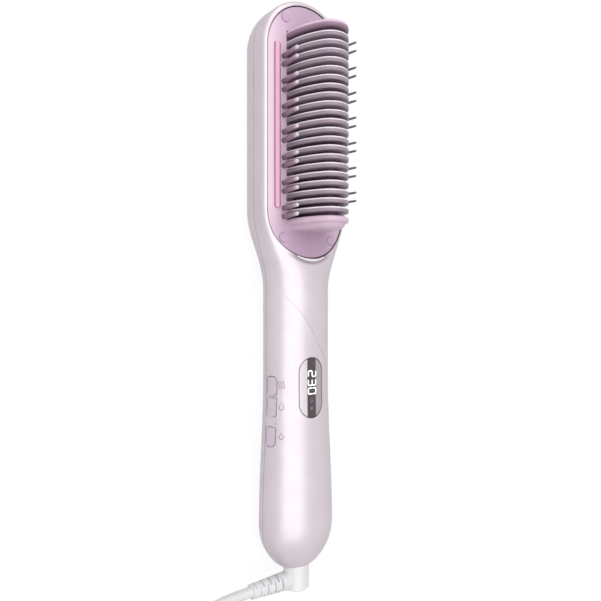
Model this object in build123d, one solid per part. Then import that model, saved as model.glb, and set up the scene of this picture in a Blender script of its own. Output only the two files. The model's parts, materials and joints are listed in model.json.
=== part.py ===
from build123d import *
from functools import lru_cache
from math import atan2, cos, hypot, pi, radians, sin, sqrt
import os

# Steam hair straightener brush, lying on its back. Millimetres.
# +X is the brush's right, +Y runs from the cord to the tip of the head, and +Z is the
# bristle side. The origin is on the surface it lies on, below the middle of its length.
# A "height" below is measured from the parting plane of the two shells, towards +Z.

# ---- Driving dimensions: the outer form ----
body_length = 284.9            # tip of the head to the end of the handle's dome
head_width = 51.0
head_length = 104.9            # tip of the head down to where its full width ends
flare_length = 38.0            # head width down to neck width
neck_width = 35.9
handle_width = 40.6            # at its widest, near the dome
bulge_length = 74.5            # the stretch over which the handle swells
dome_length = 23.5
head_back_depth = 15.1
head_front_depth = 10.0
neck_depth = 13.4              # front and back alike
handle_depth = 15.1            # front and back alike
sweep_length = 24.0            # the front face rises from head height to neck height here
sweep_drop = 111.1             # from the tip of the head to where that rise starts
wall = 2.0
lip_height = 1.2               # of the lip that joins the shells
seam_gap = 0.3                 # the shadow line between the shells
crease_start = (-13.5, 3.3)    # across the neck, and below its upper end
crease_end = (10.5, 37.8)
crease_bow = 1.3
crease_width = 1.0
crease_depth = 0.25
fit = 0.1                      # clearance between pieces that are put together
running_fit = 0.2              # clearance between pieces that move

# ---- Face plate ----
plate_width = 45.8
plate_length = 124.5
plate_rim = 3.4                # from the tip of the head to the plate
plate_drop = 0.4
plate_thickness = 1.8
plate_gap = 0.35               # the dark line round the plate
ledge_width = 1.4
ledge_thickness = 1.6
ledge_root = 3.2               # below the plate, where the ledge joins the side wall
brow_radius = 17.0             # the shell's raised lip round the plate's lower end
brow_width = 1.1
brow_height = 0.35
cap_diameter = 4.6
cap_gap = 0.15
cap_proud = 0.3
cap_thickness = 0.9
screw_diameter = 2.4
screw_head_diameter = 4.1
screw_head_thickness = 1.2
screw_length = 11.0
boss_wall = 1.35
plate_boss_drop = 2.6
low_screw_spread = 29.0        # between the two screws near the neck
high_screw_spread = 26.0       # between the two screws near the tip
low_screw_inset = 9.3          # from the plate's lower end
high_screw_inset = 7.8         # from the plate's upper end

# ---- Comb ----
fin_count = 21
fin_pitch = 4.1
fin_thickness = 2.4
fin_round = 0.55
fin_ring = 4.3                 # depth of a fin's arch, outside to inside
comb_width = 24.8
crown_radius = 9.4              # the flanks run from here to upright at the plate
crown_height = 15.5            # centre of the crown above the plate
crown_lean = 1.6               # the crown leans to the right
comb_rim = 19.8                # plate's upper end to the first fin
end_gap = 1.7                  # end frames to the fins beside them
end_thickness = 3.8
low_end_thickness = 3.2
end_round = 1.5
skirt_inset = 2.0
skirt_taper = 2.4              # how much further in the skirt's end is
skirt_length = 1.6
skirt_round = 0.9
core_gap = 0.4                 # heated core to the fins
core_flange = 2.2
core_flange_thickness = 1.6
core_base_drop = 1.8           # core's base below the plate
ptc_width = 10.8
ptc_thickness = 4.2
ptc_margin = 4.0
peg_root_diameter = 2.6
peg_tip_diameter = 1.9
peg_height = 13.4
peg_offset = 14.2              # from the middle of the brush
peg_lean = 4.3                 # degrees
peg_gaps = (3, 4, 6, 7, 9, 10, 12, 13, 15, 16, 18, 19, 21, 22)
bristle_root_diameter = 1.5
bristle_tip_diameter = 1.1
bristle_height = 18.4
bristle_offset = 13.6
bristle_lean = 9.3             # degrees
bristle_gaps = (1, 2, 4, 5, 7, 8, 10, 11, 13, 14, 16, 17, 19, 20)

# ---- Steam bar and what feeds it ----
bar_width = 3.3
bar_length = 80.3
bar_offset = 18.0
bar_rim = 20.8                 # plate's upper end to the bar
bar_proud = 1.3
bar_round = 0.9
duct_width = 1.5
nozzle_diameter = 1.0
nozzle_every = 3               # fins from one jet to the next
nozzle_first = 4
manifold_width = 4.2
manifold_depth = 9.0
manifold_wall = 1.0
manifold_drop = 0.4            # below the plate's under face, which is lower at its sides
tray_width = 27.4
tray_thickness = 1.8
tray_lip_width = 2.2
tray_inset = 0.5               # clear of the low screws' bosses
tray_lip_gap = 0.2             # lips to the plate's under face
nipple_diameter = 4.0
boiler_width = 26.0
boiler_length = 50.0
boiler_height = 8.4
insulation_thickness = 0.5
tank_width = 38.0
tank_length = 68.0
tank_wall = 1.2
tank_to_tip = 19.0             # tip of the head to the tank
tank_roof_height = -5.0
fill_diameter = 7.0
fill_flange_diameter = 11.0
fill_flange_thickness = 1.0
fill_to_tank_end = 12.0
fill_plug_length = 5.0
seal_thickness = 0.8
pump_diameter = 15.0
pump_length = 26.0
pump_to_tank = 24.0
pump_height = -3.6
pump_face_length = 5.5         # the square end that the tubes plug into
tube_diameter = 4.0
tube_spread = 9.0
rib_thickness = 1.5
fuse_diameter = 3.2
fuse_length = 11.0
sensor_diameter = 2.4
sensor_length = 6.0

# ---- Display ----
lens_length = 29.7
lens_width = 14.0
lens_to_neck = 49.3            # neck's upper end to the middle of the window
lens_drop = 0.12
lens_thickness = 1.0
lens_gap = 0.22
lens_ledge = 1.2
holder_margin = 2.6
holder_drop = 5.2              # holder's foot below the lens
module_width = 9.0
module_length = 22.0
digit_height = 4.4             # across the strip
digit_width = 3.4              # along the handle
digit_stroke = 0.75
digit_relief = 0.3
digit_pitch = 4.3
digit_start = 6.9              # middle of the window up to the first digit
display_board_thickness = 1.2

# ---- Boards and keys ----
board_height = -4.0
board_thickness = 1.6
board_width = 25.0
board_length = 82.0
board_to_dome = 14.0           # dome's start to the board's lower end
key_height = 4.5               # round the handle
key_middle_height = 3.5        # middle of the keys above the parting plane
key_lengths = (8.9, 9.3, 9.1)
key_drops = (43.7, 53.8, 68.3) # neck's upper end to each key's upper end
key_gap = 0.2
key_proud = 0.15
key_round = 1.2
key_flange = 0.45
key_flange_thickness = 1.0
key_travel = 0.5
key_web = 3.0                  # plunger across the handle
land_depth = 0.55
land_margin = 0.7
switch_size = 4.6
switch_height = 2.2
stem_diameter = 2.0
stem_length = 2.6
stem_proud = 1.2
button_board_thickness = 1.2
button_board_offset = 9.4      # from the middle of the brush to its outer face
button_board_height = 6.6
button_board_margin = 3.0

# ---- Swivel and cord ----
elbow_diameter = 13.3
elbow_drop = 10.5              # below the dome
elbow_round = 0.8
elbow_depth = 5.0              # barrel inside the dome
groove_diameter = 9.4
groove_length = 3.0
flange_diameter = 13.6
flange_length = 2.0
spigot_diameter = 6.6
spigot_length = 9.0
ring_diameter = 8.0
ring_width = 2.2
ring_pitch = 4.4
collar_diameter = 13.4
contact_width = 16.0
contact_length = 8.4
relief_root_diameter = 9.4
relief_tip_diameter = 7.0
relief_reach = 27.0            # from the middle of the barrel to the boot's end
relief_seat = 2.6              # boot's root inside the barrel
slot_count = 8
slot_width = 1.0
slot_pitch = 2.1
slot_start = 3.6               # barrel's side to the first slot
cord_diameter = 5.0
coil_layers = 4
coil_columns = 3
coil_mean_diameter = 50.0
plug_relief_length = 12.0
plug_relief_diameter = 8.0
plug_relief_wall = 0.8         # round the lead, at the boot's thin end
plug_root_width = 12.0
plug_shoulder_length = 12.0
plug_nose_length = 9.0
plug_corner = 3.0
plug_edge = 2.0
plug_length = 34.0
plug_width = 35.0
plug_thickness = 14.0
plug_nose_width = 26.0
pin_diameter = 4.0
pin_length = 19.0
pin_spacing = 18.6
pin_seat = 6.0
pin_sleeve_diameter = 3.6      # the insulated half of the pin, next to the plug
pin_sleeve_length = 10.0
pin_tip_round = 1.2
wire_diameter = 1.8
mains_wire_spread = 8.8
heater_wire_spread = 19.6      # clear of the low screws' bosses
heater_wire_reach = 6.0        # past the end of the board

# ---- Worked out from them ----
overall_length = body_length + elbow_drop
tip_y = overall_length / 2
tail_y = -overall_length / 2
dome_y = tip_y - body_length               # end of the dome, on the axis
dome_start_y = dome_y + dome_length
head_y = tip_y - head_length
neck_y = head_y - flare_length
bulge_y = dome_start_y + bulge_length
arc_y = tip_y - head_width / 2             # middle of the head's round end
sweep_y = tip_y - sweep_drop
parting_z = max(head_back_depth, handle_depth)

plate_top_y = tip_y - plate_rim
plate_bottom_y = plate_top_y - plate_length
plate_face = head_front_depth - plate_drop        # heights on the head
plate_under = plate_face - plate_thickness
comb_top_y = plate_top_y - comb_rim
comb_bottom_y = comb_top_y - (fin_count - 1) * fin_pitch - fin_thickness
end_top_y = comb_top_y + end_gap
end_bottom_y = comb_bottom_y - end_gap
comb_far_y = end_top_y + end_thickness
comb_near_y = end_bottom_y - low_end_thickness - skirt_length
core_base = plate_under - core_base_drop
lens_y = neck_y - lens_to_neck
screw_spots = [
    (side * spread / 2, y)
    for spread, y in ((low_screw_spread, plate_bottom_y + low_screw_inset),
                      (high_screw_spread, plate_top_y - high_screw_inset))
    for side in (-1, 1)
]

# Corner shapes of a quarter section, as shares of its half width and its depth.
ROUND = ((1, 0.331), (0.866, 0.631), (0.631, 0.866), (0.331, 1))
HEAD_FRONT = ((1, 0.77), (1, 0.88), (1, 1), (0.94, 1))
HEAD_BACK = ((1, 0.36), (1, 0.61), (0.86, 1), (0.52, 1))
DOME_STEPS = 4                             # sections in the dome, as far apart as the rest
DOME_SHARE = 0.95                          # of its length; its end is inside the swivel's hole
FRONT, BACK = 1, -1
FAR = 400.0                                # past every face of the brush


def ease(y, start, end):
    """0 at start and 1 at end, along an S curve."""
    share = min(max((y - start) / (end - start), 0.0), 1.0)
    return share * share * (3 - 2 * share)


def half_width(y):
    """Half the body's width at y, above the dome."""
    bulge = ease(y, bulge_y, dome_start_y) * (handle_width - neck_width) / 2
    flare = ease(y, neck_y, head_y) * (head_width - neck_width) / 2
    return neck_width / 2 + bulge + flare


def depth(y, side):
    """The body's depth in front of or behind the parting plane at y."""
    bulge = ease(y, bulge_y, dome_start_y) * (handle_depth - neck_depth)
    if side == BACK:
        change = ease(y, neck_y, head_y) * (head_back_depth - neck_depth)
    else:
        change = ease(y, sweep_y - sweep_length, sweep_y) * (head_front_depth - neck_depth)
    return neck_depth + bulge + change


def quarter(y, side, inset, scale):
    """Bezier points from the body's right edge to the middle of its front or back."""
    across = (half_width(y) - inset) * scale
    deep = (depth(y, side) - inset) * scale
    square = ease(y, neck_y, head_y)
    corner = HEAD_FRONT if side == FRONT else HEAD_BACK
    shares = [(1, 0)]
    for (rx, rz), (cx, cz) in zip(ROUND, corner):
        shares.append((rx + (cx - rx) * square, rz + (cz - rz) * square))
    shares.append((0, 1))
    return [(across * sx, parting_z + side * deep * sz) for sx, sz in shares]


def section(y, at_y, side, inset, scale=1.0):
    """Half section of the body as a closed wire at at_y, in the form it has at y."""
    points = quarter(y, side, inset, scale)
    right = Edge.make_bezier(*[(x, at_y, z) for x, z in points])
    left = Edge.make_bezier(*[(-x, at_y, z) for x, z in reversed(points)])
    edge = points[0][0]
    base = Edge.make_line((-edge, at_y, parting_z), (edge, at_y, parting_z))
    return Wire([right, left, base])


@lru_cache(maxsize=None)
def half_body(side, inset):
    """The front or back half of the body, solid, drawn in by inset all over."""
    deep = dome_length - inset
    low_y = dome_start_y - DOME_SHARE * deep
    sections = []
    for step in range(DOME_STEPS):
        y = low_y + (dome_start_y - low_y) * step / DOME_STEPS
        scale = sqrt(1 - ((dome_start_y - y) / deep) ** 2)
        sections.append(section(dome_start_y, y, side, inset, scale))
    count = round((arc_y - dome_start_y) / (dome_start_y - low_y) * DOME_STEPS)
    for step in range(count + 1):
        y = dome_start_y + (arc_y - dome_start_y) * step / count
        sections.append(section(y, y, side, inset))
    trunk = Solid.make_loft(sections)
    points = quarter(arc_y, side, inset, 1.0)
    profile = Face(Wire([
        Edge.make_bezier(*[(x, arc_y, z) for x, z in points]),
        Edge.make_line((0, arc_y, points[-1][1]), (0, arc_y, parting_z)),
        Edge.make_line((0, arc_y, parting_z), (points[0][0], arc_y, parting_z)),
    ]))
    end = revolve(profile, Axis((0, arc_y, 0), (0, 0, 1)), 180)
    return Part() + trunk + end


@lru_cache(maxsize=None)
def handle_span(inset):
    """The front half of the handle round the display and keys, drawn in by inset."""
    low, high = key_ends(2)[0] - 8, lens_y + lens_length / 2 + 8
    count = round((high - low) / 6)
    stations = [low + (high - low) * step / count for step in range(count + 1)]
    return Part() + Solid.make_loft([section(y, y, FRONT, inset) for y in stations])


def skin(tool, outer, inner, body=None):
    """The part of tool that lies between two depths below the front's surface."""
    form = body or (lambda inset: half_body(FRONT, inset))
    return (tool & form(outer)) - form(inner)


def parting_prism(side, inset, height):
    """The half body's outline on the parting plane, run up from it."""
    flat = [f for f in half_body(side, inset).faces() if on_parting_plane(f)]
    return Part() + [extrude(face, height, dir=(0, 0, 1)) for face in flat]


def on_parting_plane(face):
    box = face.bounding_box()
    return abs(box.min.Z - parting_z) < 1e-3 and abs(box.max.Z - parting_z) < 1e-3


def block(x0, x1, y0, y1, h0, h1):
    """A box between two corners, with heights from the parting plane."""
    middle = ((x0 + x1) / 2, (y0 + y1) / 2, parting_z + (h0 + h1) / 2)
    return Pos(*middle) * Box(x1 - x0, y1 - y0, h1 - h0)


def rod(radius, x, y, h0, h1):
    """A round bar along Z."""
    return Pos(x, y, parting_z + (h0 + h1) / 2) * Cylinder(radius, h1 - h0)


def axle(radius, y0, y1, x=0.0, height=0.0):
    """A round bar along Y."""
    return Pos(x, (y0 + y1) / 2, parting_z + height) * Rot(90, 0, 0) * Cylinder(radius, y1 - y0)


def crossbar(radius, x0, x1, y, height):
    """A round bar along X."""
    return Pos((x0 + x1) / 2, y, parting_z + height) * Rot(0, 90, 0) * Cylinder(radius, x1 - x0)


def stadium(length, width, y, h0, h1, x=0.0):
    """A slot-shaped prism, long along Y."""
    outline = Pos(x, y, parting_z + h0) * SlotOverall(length, width, rotation=90)
    return extrude(outline, h1 - h0)


def plate_prism(grow, h0=-FAR, h1=FAR):
    middle = (plate_top_y + plate_bottom_y) / 2
    return stadium(plate_length + 2 * grow, plate_width + 2 * grow, middle, h0, h1)


def lens_prism(grow, h0=0.0, h1=FAR):
    return stadium(lens_length + 2 * grow, lens_width + 2 * grow, lens_y, h0, h1)


def flank(side):
    """Centre and radius of one flank's arc: upright at the plate, tangent to the crown."""
    out = comb_width / 2 - side * crown_lean
    radius = (out * out + crown_height * crown_height - crown_radius * crown_radius)
    radius /= 2 * (out - crown_radius)
    return (side * (comb_width / 2 - radius), plate_face), radius


def arch_outline(inset, y, foot):
    """The comb's three-centred outline as a face at y, drawn in by inset."""
    crown = (crown_lean, plate_face + crown_height)
    spots, middles = {}, {}
    for side in (-1, 1):
        (x, z), radius = flank(side)
        angle = atan2(crown[1] - z, side * (crown[0] - x))
        reach = radius - inset
        spots[side] = (x + side * reach * cos(angle), z + reach * sin(angle))
        middles[side] = (x + side * reach * cos(angle / 2), z + reach * sin(angle / 2))
    half = comb_width / 2 - inset

    def place(x, z):
        return (x, y, parting_z + z)

    return Face(Wire([
        Edge.make_line(place(-half, foot), place(-half, plate_face)),
        Edge.make_three_point_arc(place(-half, plate_face), place(*middles[-1]), place(*spots[-1])),
        Edge.make_three_point_arc(place(*spots[-1]), place(crown[0], crown[1] + crown_radius - inset),
                                  place(*spots[1])),
        Edge.make_three_point_arc(place(*spots[1]), place(*middles[1]), place(half, plate_face)),
        Edge.make_line(place(half, plate_face), place(half, foot)),
        Edge.make_line(place(half, foot), place(-half, foot)),
    ]))


def arch(inset, y, length, foot=plate_under):
    """The comb's arched outline run from y towards the tip."""
    return extrude(arch_outline(inset, y, foot), length, dir=(0, 1, 0))


def rim_edges(shape, above):
    """Edges of the arch's outer rim, above a height and across Y."""
    picked = []
    for edge in shape.edges():
        low, high = edge.bounding_box().min, edge.bounding_box().max
        if high.Y - low.Y < 1e-3 and high.Z > parting_z + above + 1.0:
            picked.append(edge)
    return picked


def lean(shape, x, y, angle):
    """Tilt a piece that stands at x, y on the plate about its foot, towards +X."""
    foot = Axis((x, y, parting_z + plate_face), (0, 1, 0))
    return shape.rotate(foot, angle)


# ---- Casing ----
def key_ends(index):
    """Lower and upper end of one key, along Y."""
    top = neck_y - key_drops[index]
    return top - key_lengths[index], top


def key_prism(index, grow, x0=-FAR, x1=-1.0):
    """A key's outline with round corners, run across the handle."""
    low, high = key_ends(index)
    outline = RectangleRounded(key_height + 2 * grow, high - low + 2 * grow, key_round + max(grow, 0))
    middle = (0, (low + high) / 2, parting_z + key_middle_height)
    solid = extrude(Plane(middle, x_dir=(0, 0, 1), z_dir=(-1, 0, 0)) * outline, -x0)
    return solid & block(x0, x1, low - FAR, high + FAR, -FAR, FAR)


def make_front_shell():
    holes = [half_body(FRONT, wall), plate_prism(plate_gap, 1.0)]
    holes.append(lens_prism(lens_gap) - handle_span(lens_drop + lens_thickness + fit))
    holes.append(lens_prism(-lens_ledge))
    holes.append(land_prism() - handle_span(land_depth))
    holes += [key_prism(index, key_gap) for index in range(len(key_lengths))]
    holes.append(parting_prism(FRONT, wall / 2, lip_height + fit))
    holes.append(block(-FAR, FAR, -FAR, FAR, -1, seam_gap))
    holes.append(axle(elbow_diameter / 2 + running_fit, dome_y - FAR, dome_y + elbow_depth + fit))
    holes.append(crease_prism() - half_body(FRONT, crease_depth))
    shell = half_body(FRONT, 0.0)
    for hole in holes:
        shell -= hole
    return shell + [plate_ledge(), plate_brow(), end_rib(FRONT)]


def crease_prism():
    """A long thin crescent, bowed towards the tip, over the slanting crease in the neck."""
    (x0, y0), (x1, y1) = [(x, neck_y - drop) for x, drop in (crease_start, crease_end)]
    length = hypot(x1 - x0, y1 - y0)
    across = ((y0 - y1) / length, (x1 - x0) / length)
    arcs = []
    for bow in (crease_bow, crease_bow - crease_width):
        middle = ((x0 + x1) / 2 + bow * across[0], (y0 + y1) / 2 + bow * across[1])
        arcs.append(Edge.make_three_point_arc((x0, y0, parting_z), (*middle, parting_z), (x1, y1, parting_z)))
    return Part() + extrude(Face(Wire(arcs)), FAR, dir=(0, 0, 1))


def plate_brow():
    """The raised lip of the shell that fades out on both sides of the plate's lower end."""
    y = plate_bottom_y - plate_gap - brow_width + brow_radius
    crescent = rod(brow_radius, 0, y, 0, FAR) - plate_prism(plate_gap)
    return (crescent & half_body(FRONT, -brow_height)) - half_body(FRONT, wall / 2)


def plate_ledge():
    """The shoulder inside the front shell that the face plate rests on."""
    seat = plate_drop + plate_thickness + fit
    ring = plate_prism(wall, plate_under - ledge_root) - plate_prism(-ledge_width)
    ring = skin(ring, wall - 0.4, seat + ledge_thickness)
    ring -= plate_prism(plate_gap, 1.0) - half_body(FRONT, seat)
    for x, y in screw_spots:
        ring -= rod(screw_head_diameter / 2 + boss_wall + fit, x, y, 0, plate_under + FAR)
    return ring


def land_prism():
    """The shallow recess that the three keys stand in, run out past the shell."""
    low = key_ends(2)[0] - land_margin
    high = key_ends(0)[1] + land_margin
    width = key_height + 2 * land_margin
    outline = RectangleRounded(width, high - low, width / 2.2)
    middle = (0, (low + high) / 2, parting_z + key_middle_height)
    return extrude(Plane(middle, x_dir=(0, 0, 1), z_dir=(-1, 0, 0)) * outline, FAR)


def end_rib(side):
    """A rib inside the dome that holds the swivel collar."""
    low, high = collar_ends()
    heights = (lip_height + fit, FAR) if side == FRONT else (-FAR, 0)
    slab = block(-FAR, FAR, low, high, *heights)
    rib = slab & half_body(side, wall / 2)
    return rib - axle(collar_diameter / 2 + fit / 2, low - 1, high + 1)


def collar_ends():
    low = dome_y + elbow_depth + fit
    return low, low + groove_length - 2 * fit


def make_rear_shell():
    foot = plate_under - plate_boss_drop - fit
    inner = []
    for y in board_rib_spots():
        inner.append(block(-FAR, FAR, y, y + rib_thickness, -FAR, board_height))
    for y in pump_rib_spots():
        inner.append(block(-FAR, FAR, y, y + rib_thickness, -FAR, pump_height))
    low, high = contact_ends()
    inner.append(block(-FAR, FAR, low + 1, high - 1, -FAR, -contact_width / 2))
    for x, y in screw_spots:
        inner.append(rod(screw_diameter / 2 + boss_wall, x, y, -head_back_depth, 0))
    inner = (Part() + inner) & half_body(BACK, wall / 2)
    pillars = [rod(screw_diameter / 2 + boss_wall, x, y, -fit, foot) for x, y in screw_spots]
    lip = parting_prism(BACK, wall / 2 + fit, lip_height) - parting_prism(BACK, wall, lip_height)
    shell = half_body(BACK, 0.0) - half_body(BACK, wall)
    shell = shell + [lip, inner, end_rib(BACK)] + pillars
    holes = [axle(elbow_diameter / 2 + running_fit, dome_y - FAR, dome_y + elbow_depth + fit)]
    low, high = pump_rib_spots()
    holes.append(axle(pump_diameter / 2 + fit, low - 1, high + rib_thickness + 1, 0, pump_height))
    for x, y in screw_spots:
        holes.append(rod(screw_diameter / 2 + fit / 2, x, y, plate_under - screw_length, FAR))
    holes.append(rod(fill_diameter / 2 + seal_thickness + fit, 0, fill_y(), -FAR, -wall))
    holes.append(rod(fill_flange_diameter / 2 + fit, 0, fill_y(), -FAR, fill_flange_thickness + fit - head_back_depth))
    for hole in holes:
        shell -= hole
    return shell


def board_rib_spots():
    low = dome_start_y + board_to_dome
    return [low + 2, low + board_length / 2, low + board_length - 2 - rib_thickness]


def pump_rib_spots():
    low = tank_near_y() - pump_to_tank - pump_length
    return [low + 3, low + pump_length - pump_face_length - 1 - rib_thickness]


def tank_near_y():
    return tip_y - tank_to_tip - tank_length


def fill_y():
    return tip_y - tank_to_tip - fill_to_tank_end


# ---- Face plate and comb ----
def make_comb_base():
    plate = skin(plate_prism(0.0, 1.0), plate_drop, plate_drop + plate_thickness)
    foot = plate_under - plate_boss_drop
    for x, y in screw_spots:
        boss = rod(screw_head_diameter / 2 + boss_wall, x, y, foot, head_front_depth + neck_depth)
        plate += boss & half_body(FRONT, plate_drop + plate_thickness / 2) & plate_prism(0.0, 0.0)
    half = comb_width / 2 + fit
    plate -= block(-half, half, comb_near_y - fit, comb_far_y + fit, plate_under - 1, FAR)
    plate -= stadium(bar_length + 2 * fit, bar_width + 2 * fit, bar_y(), 0, FAR, -bar_offset)
    for x, y in screw_spots:
        plate -= rod(cap_diameter / 2 + cap_gap, x, y, screw_seat() + screw_head_thickness, FAR)
        plate -= rod(screw_head_diameter / 2 + fit / 2, x, y, screw_seat(), FAR)
        plate -= rod(screw_diameter / 2 + fit, x, y, 0, FAR)
    return plate


def screw_seat():
    """Height of the shoulder that the screw heads sit on."""
    return plate_face - cap_thickness - screw_head_thickness


def bar_y():
    return plate_top_y - bar_rim - bar_length / 2


def make_screw_caps():
    caps = []
    for x, y in screw_spots:
        cap = rod(cap_diameter / 2, x, y, screw_seat() + screw_head_thickness, FAR)
        caps.append(cap & half_body(FRONT, plate_drop - cap_proud))
    return caps


def make_base_screws():
    screws = []
    for x, y in screw_spots:
        head = rod(screw_head_diameter / 2, x, y, screw_seat(), screw_seat() + screw_head_thickness)
        head -= block(x - 1.4, x + 1.4, y - 0.3, y + 0.3, screw_seat() + 0.5, FAR)
        shank = rod(screw_diameter / 2, x, y, plate_under - screw_length + fit, screw_seat())
        screws.append(head + shank)
    return screws


def make_comb_fins():
    y = comb_bottom_y
    ring = arch(0.0, y, fin_thickness)
    ring = fillet(rim_edges(ring, plate_face), fin_round)
    ring -= arch(fin_ring, y - 1, fin_thickness + 2, plate_under - 1)
    fins = [Pos(0, step * fin_pitch, 0) * ring for step in range(fin_count)]
    half = comb_width / 2
    inner = half - fin_ring
    comb = Part()
    for side in (-1, 1):
        x0, x1 = sorted((side * inner, side * half))
        comb += block(x0, x1, end_bottom_y + fit, end_top_y - fit, plate_under, plate_face)
    return comb + fins


def make_end_top():
    frame = arch(0.0, end_top_y, end_thickness)
    return fillet(rim_edges(frame, plate_face), end_round)


def make_end_bottom():
    low = end_bottom_y - low_end_thickness
    frame = arch(0.0, low, low_end_thickness)
    frame = fillet(rim_edges(frame, plate_face), end_round)
    wide = arch_outline(skirt_inset, low, plate_under)
    narrow = arch_outline(skirt_inset + skirt_taper, comb_near_y, plate_under)
    skirt = Part() + Solid.make_loft([wide.outer_wire(), narrow.outer_wire()], ruled=True)
    skirt = fillet([e for e in rim_edges(skirt, plate_face) if e.center().Y < low - 0.1], skirt_round)
    return frame + skirt


def make_heater_core():
    low, high = end_bottom_y + fit, end_top_y - fit
    core = arch(fin_ring + core_gap, low, high - low, core_base)
    half = comb_width / 2 - fin_ring - core_gap + core_flange
    core += block(-half, half, low, high, core_base, core_base + core_flange_thickness)
    slot = ptc_slot()
    core -= block(slot[0], slot[1], low - 1, high + 1, slot[2], slot[3])
    return core


def ptc_slot():
    """Left, right, low and high of the slot through the core."""
    low = plate_face + 1.5
    return -ptc_width / 2 - fit, ptc_width / 2 + fit, low, low + ptc_thickness + 2 * fit


def make_ptc_heater():
    low, high = end_bottom_y + ptc_margin, end_top_y - ptc_margin
    base = ptc_slot()[2] + fit
    return block(-ptc_width / 2, ptc_width / 2, low, high, base, base + ptc_thickness)


def make_guard_pegs():
    pegs = []
    top = plate_face + peg_height
    for gap in peg_gaps:
        y = gap_y(gap)
        root, tip = peg_root_diameter / 2, peg_tip_diameter / 2
        cone = Pos(-peg_offset, y, parting_z + (plate_face + top - 2 * tip) / 2) * Cone(
            root, tip, peg_height)
        ball = Pos(-peg_offset, y, parting_z + top - tip) * Sphere(tip)
        peg = lean(cone + ball, -peg_offset, y, -peg_lean)
        pegs.append(peg & block(-FAR, FAR, -FAR, FAR, plate_face, FAR))
    return pegs


def make_bristles():
    bristles = []
    top = plate_face + bristle_height
    for gap in bristle_gaps:
        y = gap_y(gap)
        root, tip = bristle_root_diameter / 2, bristle_tip_diameter / 2
        cone = Pos(bristle_offset, y, parting_z + (plate_face + top - 2 * tip) / 2) * Cone(
            root, tip, bristle_height)
        ball = Pos(bristle_offset, y, parting_z + top - tip) * Sphere(tip)
        bristle = lean(cone + ball, bristle_offset, y, bristle_lean)
        bristles.append(bristle & block(-FAR, FAR, -FAR, FAR, plate_face, FAR))
    return bristles


def gap_y(gap):
    """Middle of a gap between fins, counted from the tip, gap 1 above fin 1."""
    return comb_top_y + (fin_pitch - fin_thickness) / 2 - (gap - 1) * fin_pitch


# ---- Steam and water ----
def make_steam_bar():
    top = plate_face + bar_proud
    foot = plate_under - manifold_drop
    bar = stadium(bar_length, bar_width, bar_y(), foot, top, -bar_offset)
    bar = fillet(bar.faces().sort_by(Axis.Z)[-1].edges(), bar_round)
    low, high = bar_y() - bar_length / 2 + bar_width, bar_y() + bar_length / 2 - bar_width
    half = duct_width / 2
    bar -= block(-bar_offset - half, -bar_offset + half, low, high, foot - 1, plate_face + 0.4)
    spots = range(nozzle_first, fin_count, nozzle_every)
    for number in spots:
        y = comb_top_y - (number - 1) * fin_pitch - fin_thickness / 2
        height = plate_face + 0.05 + nozzle_diameter / 2
        bar -= crossbar(nozzle_diameter / 2, -bar_offset, -bar_offset + bar_width, y, height)
    return bar


def make_steam_manifold():
    half = manifold_width / 2
    low, high = bar_y() - bar_length / 2, bar_y() + bar_length / 2
    top = plate_under - manifold_drop
    manifold = block(-bar_offset - half, -bar_offset + half, low, high, top - manifold_depth, top)
    inner = half - manifold_wall
    manifold -= block(-bar_offset - inner, -bar_offset + inner, low + manifold_wall, high - manifold_wall,
                      top - manifold_depth + manifold_wall, FAR)
    manifold -= crossbar(nipple_diameter / 2 - 0.8, -bar_offset, 0, nipple_y(), nipple_height())
    return manifold


def nipple_y():
    return boiler_ends()[1] - 8


def nipple_height():
    return boiler_heights()[1] - 3


def boiler_ends():
    low = tank_near_y() + 3
    return low, low + boiler_length


def boiler_heights():
    low = tank_roof_height + insulation_thickness
    return low, low + boiler_height


def make_steam_nipple():
    x0, x1 = -bar_offset + manifold_width / 2, -boiler_width / 2
    nipple = crossbar(nipple_diameter / 2, x0, x1, nipple_y(), nipple_height())
    return nipple - crossbar(nipple_diameter / 2 - 0.8, x0 - 1, x1 + 1, nipple_y(), nipple_height())


def make_boiler():
    half = boiler_width / 2
    body = block(-half, half, *boiler_ends(), *boiler_heights())
    body = fillet(body.edges().filter_by(Axis.Z), 2.0)
    body -= crossbar(nipple_diameter / 2 - 0.8, -half - 1, -half + 8, nipple_y(), nipple_height())
    return body


def make_insulation_sheet():
    half = boiler_width / 2 + 1
    low, high = boiler_ends()
    return block(-half, half, low - 1, high + 1, tank_roof_height, boiler_heights()[0])


def make_heater_tray():
    half = tray_width / 2
    low, high = comb_near_y + tray_inset, comb_far_y
    base = core_base - tray_thickness
    tray = block(-half, half, low, high, base, core_base)
    for side in (-1, 1):
        x0, x1 = sorted((side * half, side * (half - tray_lip_width)))
        tray += block(x0, x1, low, high, base, plate_under - tray_lip_gap)
    return tray


def make_water_tank():
    half = tank_width / 2
    low, high = tank_near_y(), tank_near_y() + tank_length
    tank = block(-half, half, low, high, -FAR, tank_roof_height) & half_body(BACK, wall + fit)
    hollow = block(-half + tank_wall, half - tank_wall, low + tank_wall, high - tank_wall,
                   -FAR, tank_roof_height - tank_wall) & half_body(BACK, wall + fit + tank_wall)
    tank -= hollow
    tank -= rod(fill_diameter / 2, 0, fill_y(), -FAR, tank_roof_height - tank_wall - 1)
    tank -= axle(tube_diameter / 2 - 1, low - 1, low + tank_wall + 1, tube_spread / 2, tube_height(1))
    return tank


def tube_height(side):
    """Suction tube low, feed tube high."""
    return -8.0 if side == 1 else 0.0


def make_fill_plug():
    outer = fill_flange_diameter / 2
    cap = rod(outer, 0, fill_y(), -FAR, -wall) & half_body(BACK, 0.0)
    cap -= half_body(BACK, fill_flange_thickness)
    stalk_top = -head_back_depth + fill_plug_length
    stalk = rod(fill_diameter / 2 - running_fit, 0, fill_y(), -head_back_depth + 0.4, stalk_top)
    return cap + stalk


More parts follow.
